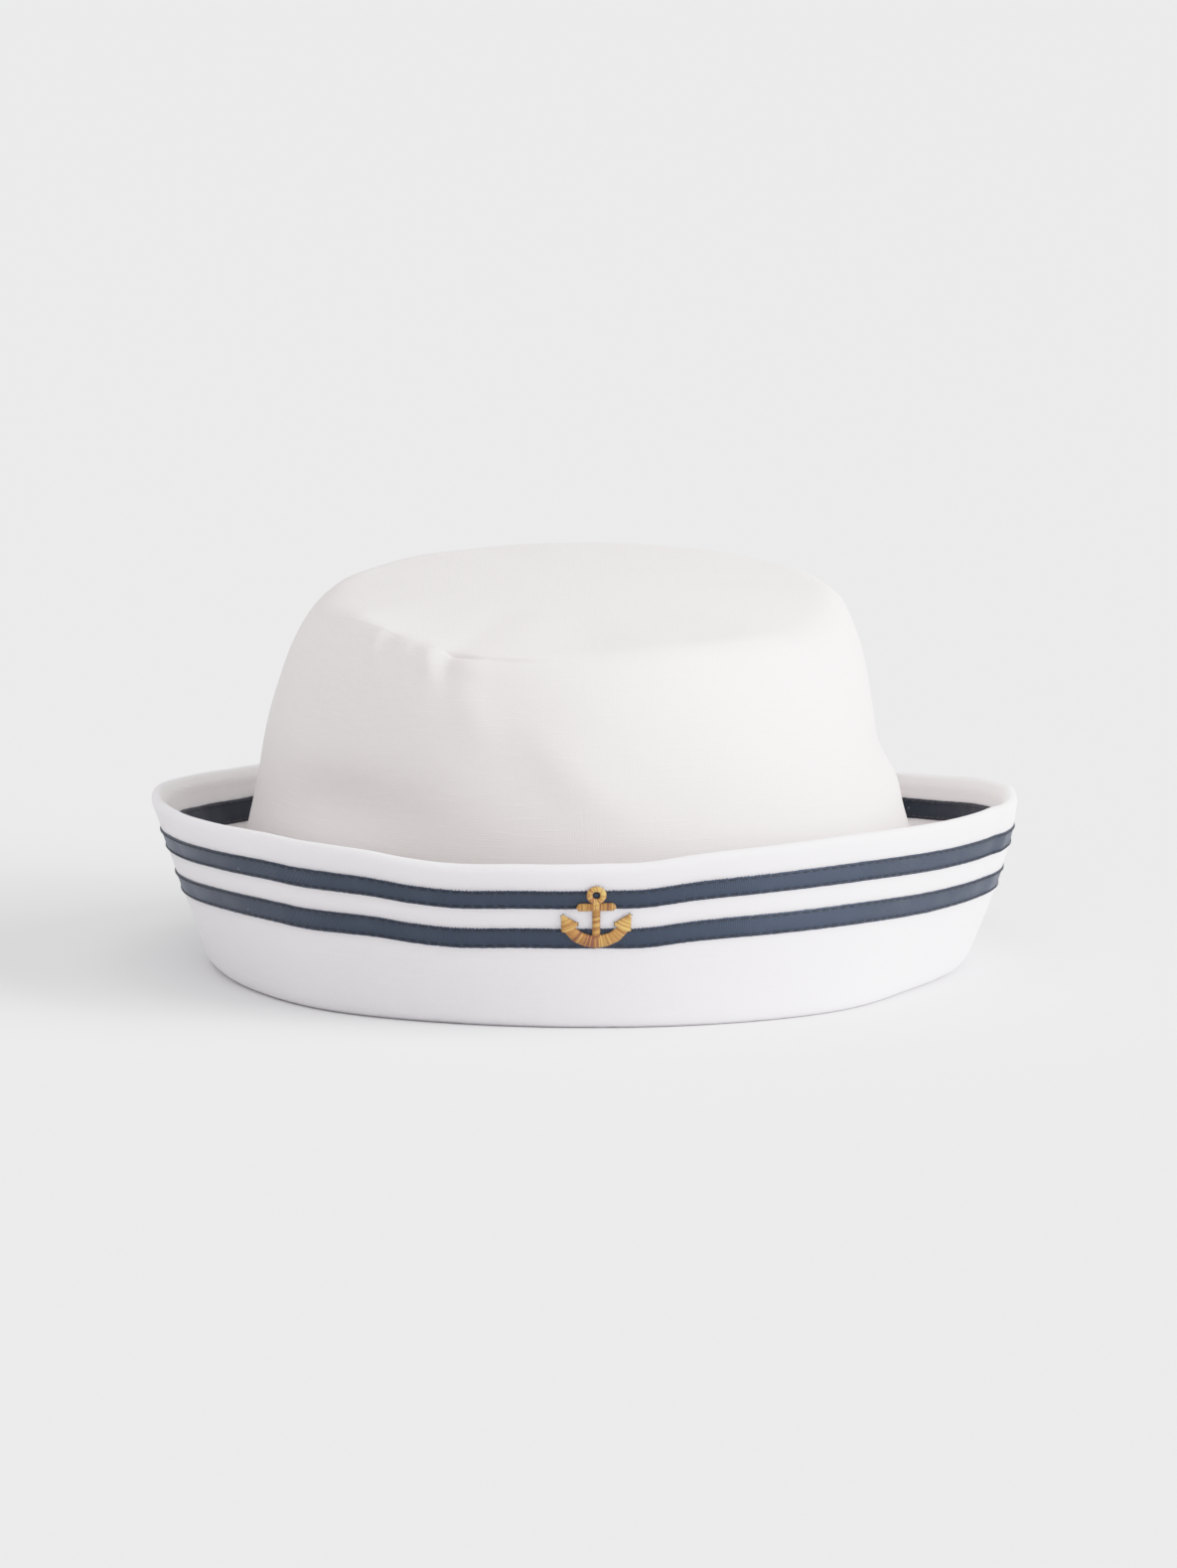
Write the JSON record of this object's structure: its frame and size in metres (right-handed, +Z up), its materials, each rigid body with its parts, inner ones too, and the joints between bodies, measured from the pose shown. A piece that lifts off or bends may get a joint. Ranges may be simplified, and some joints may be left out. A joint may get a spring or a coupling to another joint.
{
  "type": "sailor cap",
  "caption": "Child's white cloth sailor cap with a round flat-topped crown, a turned-up brim, navy ribbon stripes on both faces of the brim and an embroidered anchor.",
  "frame": {"origin": "middle of the cap on the plane that it rests on", "axes": "+Z up through the crown, -Y towards the front with the emblem, +X towards the viewer's right"},
  "size_m": [0.194, 0.2, 0.0865],
  "materials": {
    "crown_cloth": "white slub linen and cotton, plain weave, matte",
    "brim_cloth": "white slub linen and cotton over a stiffening, matte",
    "navy_ribbon": "navy ribbed ribbon, matte with a slight sheen",
    "gold_thread": "golden brown embroidery thread with a soft sheen"
  },
  "bodies": {
    "root": {"crown_tip": "crown_cloth", "crown_side": "crown_cloth", "brim": "brim_cloth", "outer_upper_ribbon": "navy_ribbon", "outer_lower_ribbon": "navy_ribbon", "inner_upper_ribbon": "navy_ribbon", "inner_lower_ribbon": "navy_ribbon", "anchor_emblem": "gold_thread"}
  },
  "joints": []
}
